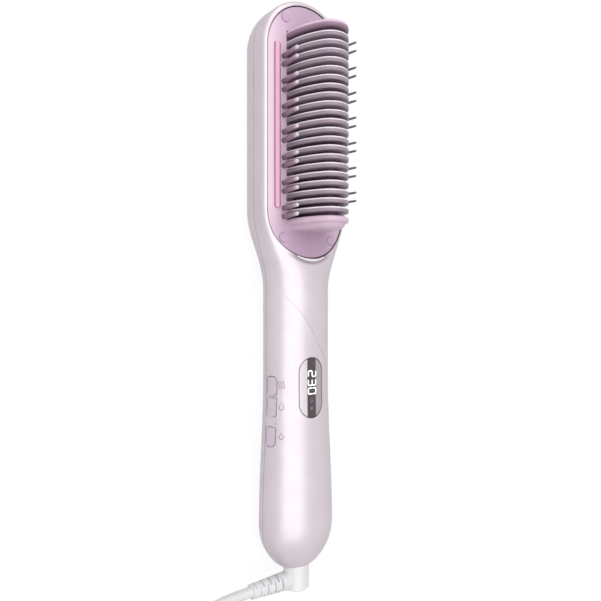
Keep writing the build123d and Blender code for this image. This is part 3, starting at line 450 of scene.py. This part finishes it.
readout = make_readout()
state_marks = make_state_marks()
key_marks = make_key_marks()
cap_rings = make_cap_rings()
plate_brow = make_brow()
comb_foot, foot_flange = make_comb_foot()


# ---- Finishes ----
def new_finish(name):
    finish = bpy.data.materials.new(name)
    finish.use_nodes = True
    tree = finish.node_tree
    shader = tree.nodes["Principled BSDF"]
    return finish, tree, shader


def add(tree, kind, **values):
    node = tree.nodes.new(kind)
    for name, value in values.items():
        if name in node.inputs:
            node.inputs[name].default_value = value
        else:
            setattr(node, name, value)
    return node


def object_noise(tree, scale, detail=2.0, roughness=0.5):
    """Noise over the object's own coordinates, so many bumps to the metre."""
    spot = add(tree, "ShaderNodeTexCoord")
    noise = add(tree, "ShaderNodeTexNoise", Scale=scale, Detail=detail, Roughness=roughness)
    tree.links.new(spot.outputs["Object"], noise.inputs["Vector"])
    return noise.outputs["Fac"]


def ramp(tree, fac, stops, interpolation="LINEAR"):
    """A colour ramp with stops of (position, colour)."""
    node = add(tree, "ShaderNodeValToRGB")
    node.color_ramp.interpolation = interpolation
    while len(node.color_ramp.elements) < len(stops):
        node.color_ramp.elements.new(0.5)
    for element, (position, colour) in zip(node.color_ramp.elements, stops):
        element.position = position
        element.color = (*colour, 1)
    tree.links.new(fac, node.inputs["Fac"])
    return node.outputs["Color"]


def along(tree, axis):
    """One of the object's own coordinates."""
    spot = add(tree, "ShaderNodeTexCoord")
    parts = add(tree, "ShaderNodeSeparateXYZ")
    tree.links.new(spot.outputs["Object"], parts.inputs["Vector"])
    return parts.outputs[axis]


def span(tree, value, low, high):
    """Bring a number from low..high to 0..1."""
    node = add(tree, "ShaderNodeMapRange")
    node.inputs["From Min"].default_value = low
    node.inputs["From Max"].default_value = high
    tree.links.new(value, node.inputs["Value"])
    return node.outputs["Result"]


def tint(tree, colour, shade, fac=1.0):
    """Multiply one colour by another."""
    node = add(tree, "ShaderNodeMix", data_type="RGBA", blend_type="MULTIPLY")
    node.inputs[0].default_value = fac
    tree.links.new(colour, node.inputs[6])
    tree.links.new(shade, node.inputs[7])
    return node.outputs[2]


def ridge(tree, shader, height, strength, distance):
    bump = add(tree, "ShaderNodeBump", Strength=strength, Distance=distance)
    tree.links.new(height, bump.inputs["Height"])
    tree.links.new(bump.outputs["Normal"], shader.inputs["Normal"])


def moulded(name, first, second, gloss, grain=900, relief=0.08, coat=0.0, metal=0.0, coat_gloss=0.1,
            pattern=None, **more):
    """A moulded or lacquered finish: two near colours in fine noise, varied gloss and a faint bump."""
    finish, tree, shader = new_finish(name)
    fine = object_noise(tree, grain)
    broad = object_noise(tree, grain / 18, 3.0)
    colour = ramp(tree, broad, [(0.35, first), (0.65, second)])
    if pattern:
        colour = tint(tree, colour, pattern(tree))
    tree.links.new(colour, shader.inputs["Base Color"])
    spread = add(tree, "ShaderNodeMapRange")
    spread.inputs["To Min"].default_value = gloss * 0.9
    spread.inputs["To Max"].default_value = gloss * 1.1
    tree.links.new(fine, spread.inputs["Value"])
    tree.links.new(spread.outputs["Result"], shader.inputs["Roughness"])
    ridge(tree, shader, fine, relief, 0.02 * MM)
    shader.inputs["Metallic"].default_value = metal
    shader.inputs["Coat Weight"].default_value = coat
    shader.inputs["Coat Roughness"].default_value = coat_gloss
    for socket, value in more.items():
        shader.inputs[socket.replace("_", " ")].default_value = value
    return finish


def linear(red, green, blue):
    """A colour as it is seen, on a scale of 255, to the light that it reflects."""
    def one(value):
        share = value / 255
        return share / 12.92 if share <= 0.04045 else ((share + 0.055) / 1.055) ** 2.4
    return one(red), one(green), one(blue)


WHITE = (1, 1, 1)
FIN_PITCH = 4.1 * MM
FIN_THICKNESS = 2.4 * MM
FIN_START = 40.1 * MM            # lower face of the lowest fin
FIN_HIGHLIGHT = 0.72 * MM             # the painted highlight along each fin's upper edge
STRIP = 2.6 * MM                 # half the width of the read-out's dark strip
BANDS = 8 * MM                   # how far the window's painted reflection bands run to each side
PLATE_SHADE = (19.8 * MM, 46.0 * MM)             # the plate's low end, and where its painted shade is gone
LIP_SHADE = (22.5 * MM, 19.5 * MM)               # where the shade under the lip begins and is full
FRAME_FACES = (126.2 * MM, 130.0 * MM)           # lower and upper face of the comb's upper frame
BAR_SIDES = (-19.65 * MM, -16.35 * MM)
PEG_TOP = PARTING + 23.0 * MM


def fin_painted_light(tree):
    """Painted light on the fins: each fin's upper edge has a painted highlight, lighter than its rim, its
    lower face is a little darker, and what joins the fins is dark with painted shade.
    """
    level = add(tree, "ShaderNodeMath", operation="SUBTRACT")
    tree.links.new(along(tree, "Y"), level.inputs[0])
    level.inputs[1].default_value = FIN_START
    phase = add(tree, "ShaderNodeMath", operation="FLOORED_MODULO")
    tree.links.new(level.outputs[0], phase.inputs[0])
    phase.inputs[1].default_value = FIN_PITCH
    share = span(tree, phase.outputs[0], 0, FIN_PITCH)
    top = FIN_THICKNESS / FIN_PITCH
    start = (FIN_THICKNESS - FIN_HIGHLIGHT) / FIN_PITCH
    rim, light, dark = linear(162, 145, 159), linear(254, 245, 252), linear(118, 98, 112)
    return ramp(tree, share, [(0.0, linear(150, 133, 147)), (0.18, rim), (start - 0.03, rim),
                              (start + 0.03, light), (top + 0.01, light), (top + 0.03, dark), (0.98, dark)])


def slot_distance(tree, low, high):
    """How far a point lies, seen from above, from the line on the brush's axis between two places."""
    place = along(tree, "Y")
    under = add(tree, "ShaderNodeMath", operation="MINIMUM")
    tree.links.new(place, under.inputs[0])
    under.inputs[1].default_value = high
    held = add(tree, "ShaderNodeMath", operation="MAXIMUM")
    tree.links.new(under.outputs[0], held.inputs[0])
    held.inputs[1].default_value = low
    past = add(tree, "ShaderNodeMath", operation="SUBTRACT")
    tree.links.new(place, past.inputs[0])
    tree.links.new(held.outputs[0], past.inputs[1])
    both = add(tree, "ShaderNodeCombineXYZ")
    tree.links.new(along(tree, "X"), both.inputs[0])
    tree.links.new(past.outputs[0], both.inputs[1])
    length = add(tree, "ShaderNodeVectorMath", operation="LENGTH")
    tree.links.new(both.outputs[0], length.inputs[0])
    return length.outputs["Value"]


LENS_ENDS = (-52.35 * MM, -36.65 * MM)
LENS_RADIUS = 7.0 * MM


def plate_painted_light(tree):
    """Painted light on the face plate: a painted highlight makes it lighter towards both of its long sides,
    and painted shade makes it a little darker at its low end.
    """
    off = add(tree, "ShaderNodeMath", operation="ABSOLUTE")
    tree.links.new(along(tree, "X"), off.inputs[0])
    share = span(tree, off.outputs[0], 0, PLATE_RADIUS)
    sides = ramp(tree, share, [(0.0, linear(202, 175, 198)), (0.42, linear(208, 181, 203)),
                               (0.65, linear(223, 194, 215)), (0.87, linear(241, 214, 231)),
                               (1.0, linear(248, 223, 238))])
    low = ramp(tree, span(tree, along(tree, "Y"), *PLATE_SHADE),
               [(0.0, linear(240, 238, 240)), (0.45, linear(240, 238, 240)), (1.0, WHITE)])
    return tint(tree, sides, low)


def seam_tones(tree):
    """The shell is dark right at the joint round the plate, and shaded under the lip below it.

    Height isn't looked at, so on any piece but the front shell all that is below the plate turns dark."""
    share = span(tree, slot_distance(tree, *PLATE_ENDS), PLATE_RADIUS, PLATE_RADIUS + 1.2 * MM)
    joint = ramp(tree, share, [(0.0, linear(120, 104, 114)), (0.45, linear(150, 132, 142)), (0.62, WHITE)])
    from_lip = slot_distance(tree, BROW_MIDDLE, BROW_MIDDLE)
    below = span(tree, from_lip, BROW_RADIUS - 1 * MM, BROW_RADIUS + 2.2 * MM)
    shade = ramp(tree, below, [(0.28, linear(178, 170, 176)), (0.55, linear(204, 197, 202)), (1.0, WHITE)])
    low = span(tree, along(tree, "Y"), *LIP_SHADE)
    mixed = add(tree, "ShaderNodeMix", data_type="RGBA")
    tree.links.new(low, mixed.inputs[0])
    mixed.inputs[6].default_value = (1, 1, 1, 1)
    tree.links.new(shade, mixed.inputs[7])
    return tint(tree, joint, mixed.outputs[2])


def frame_painted_light(tree):
    """The comb's upper frame has a painted highlight on its light rim, over a lower lip darkened with
    painted shade.
    """
    share = span(tree, along(tree, "Y"), *FRAME_FACES)
    return ramp(tree, share, [(0.0, linear(120, 95, 113)), (0.2, linear(150, 124, 143)),
                              (0.5, linear(166, 138, 158)), (0.62, linear(236, 208, 228)),
                              (1.0, linear(240, 214, 233))])


def bar_painted_groove_shade(tree):
    """The steam bar has a dark groove of painted shade along each side."""
    share = span(tree, along(tree, "X"), *BAR_SIDES)
    dark, light = linear(188, 134, 158), linear(254, 196, 221)
    return ramp(tree, share, [(0.0, linear(214, 164, 186)), (0.1, linear(214, 164, 186)), (0.24, light),
                              (0.6, linear(253, 190, 217)), (0.72, dark), (1.0, linear(172, 124, 144))])


def peg_painted_light(tree):
    """The guard pegs are plum at the foot, with painted shade, and pale at the tip, with a painted
    highlight.
    """
    share = span(tree, along(tree, "Z"), PLATE_FACE, PEG_TOP)
    return ramp(tree, share, [(0.0, linear(140, 114, 134)), (0.75, linear(172, 148, 166)),
                              (0.88, linear(214, 196, 208)), (1.0, linear(236, 222, 231))])


def window_strip_and_painted_reflection(tree):
    """A painted reflection, silver to the left of the dark strip and greyer to its right, and a dark line
    all round.
    """
    across = span(tree, along(tree, "X"), -BANDS, BANDS)
    edge = STRIP / (2 * BANDS)
    left, strip, right = linear(232, 222, 229), linear(62, 50, 57), linear(180, 167, 175)
    bands = ramp(tree, across, [(0.0, left), (0.5 - edge - 0.004, left), (0.5 - edge + 0.004, strip),
                                (0.5 + edge - 0.004, strip), (0.5 + edge + 0.004, right), (1.0, right)])
    rim = span(tree, slot_distance(tree, *LENS_ENDS), LENS_RADIUS - 1 * MM, LENS_RADIUS)
    return tint(tree, bands, ramp(tree, rim, [(0.5, WHITE), (0.75, linear(150, 138, 144))]))


def pearl(name, pattern=None):
    """The lacquer of both shells. Only the front one has a plate, with a joint round it."""
    return moulded(name, linear(218, 208, 215), linear(222, 212, 219), 0.36, 1500, 0.05, metal=0.35,
                   pattern=pattern, Specular_IOR_Level=0.25, Specular_Tint=(0.7, 0.66, 0.69, 1))


finishes = {
    "pearl_shell": pearl("pearl_lacquer"),
    "pink_plastic": moulded("pink_satin", linear(228, 200, 220), linear(232, 204, 223), 0.42, 1100, 0.08,
                            Specular_IOR_Level=0.35),
    # The fins' colours hold a painted highlight and painted shade.
    "mauve_plastic": moulded("mauve_satin", WHITE, WHITE, 0.4, 1100, 0.1, pattern=fin_painted_light),
    "dark_coating": moulded("dark_ceramic", linear(66, 40, 58), linear(76, 50, 68), 0.4, 1300, 0.15,
                            metal=0.3),
    "ceramic": moulded("fired_ceramic", linear(225, 222, 214), linear(232, 229, 221), 0.6, 900, 0.2),
    "grey_nylon": moulded("grey_nylon", linear(128, 124, 132), linear(140, 136, 144), 0.38, 1400, 0.08),
    "screw_steel": moulded("zinc_steel", linear(196, 196, 198), linear(204, 204, 206), 0.3, 2000, 0.05,
                           metal=1.0),
    # The steam bar's dark side grooves are painted shade.
    "rose_plastic": moulded("rose_gloss", WHITE, WHITE, 0.25, 800, 0.04, coat=0.3, coat_gloss=0.1,
                            pattern=bar_painted_groove_shade),
    "heat_plastic": moulded("glass_filled_plastic", linear(58, 56, 56), linear(66, 64, 64), 0.6, 1800, 0.25),
    "silicone": moulded("soft_silicone", linear(226, 214, 221), linear(231, 220, 226), 0.55, 1200, 0.1),
    "cast_alloy": moulded("cast_alloy", linear(190, 190, 192), linear(200, 200, 202), 0.5, 1500, 0.3,
                          metal=1.0),
    "clear_tank": moulded("tank_plastic", linear(222, 228, 232), linear(228, 233, 237), 0.15, 600, 0.03),
    "pump_black": moulded("black_moulding", linear(36, 36, 38), linear(42, 42, 44), 0.5, 1500, 0.15),
    # The window carries a painted reflection beside its dark strip.
    "display_glass": moulded("display_window", WHITE, WHITE, 0.12, 500, 0.02, coat=0.6, coat_gloss=0.04,
                             pattern=window_strip_and_painted_reflection),
    "digit_light": moulded("lit_segments", linear(250, 246, 250), WHITE, 0.4, 800, 0.0,
                           Emission_Color=(1, 1, 1, 1), Emission_Strength=0.6),
    "board_green": moulded("solder_mask", linear(28, 92, 56), linear(34, 100, 62), 0.35, 1200, 0.1),
    "acetal": moulded("acetal", linear(228, 228, 224), linear(233, 233, 229), 0.45, 900, 0.06),
    "wire_red": moulded("wire_red", linear(176, 36, 36), linear(184, 42, 42), 0.45, 900, 0.06),
    "key_plastic": moulded("key_lacquer", linear(214, 200, 211), linear(219, 205, 215), 0.3, 1500, 0.05,
                           coat=0.3, metal=0.2, coat_gloss=0.15),
    "white_plastic": moulded("white_gloss", linear(240, 239, 241), linear(244, 243, 245), 0.3, 900, 0.04,
                             coat=0.3, coat_gloss=0.1),
    "white_rubber": moulded("white_flex", linear(234, 234, 236), linear(240, 240, 242), 0.5, 1000, 0.08),
    "brass": moulded("brass", linear(212, 178, 110), linear(220, 186, 118), 0.25, 1500, 0.05, metal=1.0),
    "plated_pin": moulded("nickel_plate", linear(205, 203, 200), linear(212, 210, 207), 0.2, 2000, 0.05,
                          metal=1.0),
}
key_ink = moulded("key_ink", linear(158, 143, 153), linear(164, 149, 159), 0.5, 900, 0.05)
dim_marks = moulded("dim_marks", linear(150, 138, 145), linear(156, 144, 151), 0.5, 900, 0.05)


def comb_satin(name, pattern):
    """The comb's satin plastic, with its colours, painted highlight and painted shade among them, from a
    pattern along the piece.
    """
    return moulded(name, WHITE, WHITE, 0.4, 1100, 0.08, pattern=pattern, Specular_IOR_Level=0.35)


plate_pink_painted_light = comb_satin("plate_satin", plate_painted_light)
frame_pink_painted_light = comb_satin("frame_satin", frame_painted_light)
peg_plum_painted_light = comb_satin("peg_satin", peg_painted_light)
cap_pink = moulded("cap_satin", linear(204, 176, 199), linear(208, 180, 203), 0.42, 1100, 0.08,
                   Specular_IOR_Level=0.35)
# A lighter copy of the shell's pearl: a painted highlight on the lip.
lip_painted_highlight = moulded("lip_painted_highlight", linear(246, 238, 243), linear(249, 241, 246), 0.34, 1500, 0.05,
                    Specular_IOR_Level=0.3)
joint_plum = moulded("joint_shade", linear(158, 130, 152), linear(163, 135, 157), 0.5, 1100, 0.08)

for part in frame["record"]["subparts"]:
    dress(nodes[part["node"]], finishes[part["material_slot"]])
dress(nodes["front_shell"], pearl("front_pearl", seam_tones))
# The plate, the comb's upper frame and the guard pegs are dressed in finishes with painted highlight and
# painted shade.
dress(nodes["comb_base"], plate_pink_painted_light)
dress(nodes["comb_end_top"], frame_pink_painted_light)
dress(nodes["guard_pegs"], peg_plum_painted_light)
dress(nodes["screw_caps"], cap_pink)
dress(cap_rings, joint_plum)
dress(plate_brow, lip_painted_highlight)
dress(comb_foot, finishes["pink_plastic"])
dress(foot_flange, plate_pink_painted_light)
dress(power_lead, finishes["white_rubber"])
dress(readout, finishes["digit_light"])
dress(state_marks, dim_marks)
dress(key_marks, key_ink)


# ---- Table top, light and sky ----
FLOOR_GREY = 0.7                 # of the matt floor that takes the shadows
FLOOR_WHITE = 1.12               # strength of its plain white
FLOOR_GLOW = 0.8                 # how much of the floor is plain white where it is looked at
SKY_LIGHT = 0.3                  # on what isn't glossy


def looked_at(tree):
    """1 for what the camera, a reflection or clear plastic looks at, 0 for light on a matt surface."""
    seen = add(tree, "ShaderNodeLightPath")
    either = add(tree, "ShaderNodeMath", operation="MAXIMUM")
    tree.links.new(seen.outputs["Is Camera Ray"], either.inputs[0])
    tree.links.new(seen.outputs["Is Glossy Ray"], either.inputs[1])
    also = add(tree, "ShaderNodeMath", operation="MAXIMUM")
    tree.links.new(either.outputs[0], also.inputs[0])
    tree.links.new(seen.outputs["Is Transmission Ray"], also.inputs[1])
    return also.outputs[0]


def make_table_top():
    bpy.ops.mesh.primitive_plane_add(size=6, location=(0, 0, 0))
    floor = bpy.context.object
    floor.name = "table_top"
    finish, tree, shader = new_finish("white_table")
    tree.nodes.remove(shader)
    share = add(tree, "ShaderNodeMath", operation="MULTIPLY")
    share.inputs[1].default_value = FLOOR_GLOW
    tree.links.new(looked_at(tree), share.inputs[0])
    matt = add(tree, "ShaderNodeBsdfDiffuse", Color=(FLOOR_GREY, FLOOR_GREY, FLOOR_GREY, 1))
    glow = add(tree, "ShaderNodeEmission", Color=(1, 1, 1, 1), Strength=FLOOR_WHITE)
    both = add(tree, "ShaderNodeMixShader")
    tree.links.new(share.outputs[0], both.inputs["Fac"])
    tree.links.new(matt.outputs[0], both.inputs[1])
    tree.links.new(glow.outputs[0], both.inputs[2])
    tree.links.new(both.outputs[0], tree.nodes["Material Output"].inputs["Surface"])
    dress(floor, finish)


def make_light(name, spot, aim, size, power):
    bpy.ops.object.light_add(type="AREA")
    lamp = bpy.context.object
    lamp.name = name
    lamp.data.shape = "RECTANGLE"
    lamp.data.size, lamp.data.size_y = size
    lamp.data.energy = power
    back = (Vector(spot) - Vector(aim)).normalized()
    side = Vector((0, 1, 0)).cross(back).normalized()
    length = back.cross(side)
    lamp.matrix_world = Matrix.Translation(spot) @ Matrix((
        (side.x, length.x, back.x), (side.y, length.y, back.y), (side.z, length.z, back.z))).to_4x4()
    return lamp


def make_sky():
    world = bpy.data.worlds.new("studio")
    world.use_nodes = True
    tree = world.node_tree
    sky = tree.nodes["Background"]
    sky.inputs["Color"].default_value = (1, 1, 1, 1)
    strength = add(tree, "ShaderNodeMapRange")
    strength.inputs["To Min"].default_value = SKY_LIGHT
    tree.links.new(looked_at(tree), strength.inputs["Value"])
    tree.links.new(strength.outputs["Result"], sky.inputs["Strength"])
    bpy.context.scene.world = world


make_table_top()
make_sky()
make_light("key_box", spot=(-0.3, 0.0, 0.94), aim=(0, 0, 0.015), size=(1.15, 1.5), power=8.9)
make_light("top_box", spot=(0.0, 0.95, 0.6), aim=(0, 0.05, 0.02), size=(0.7, 0.4), power=2.0)

bpy.context.scene.view_settings.view_transform = "Standard"

deselect()
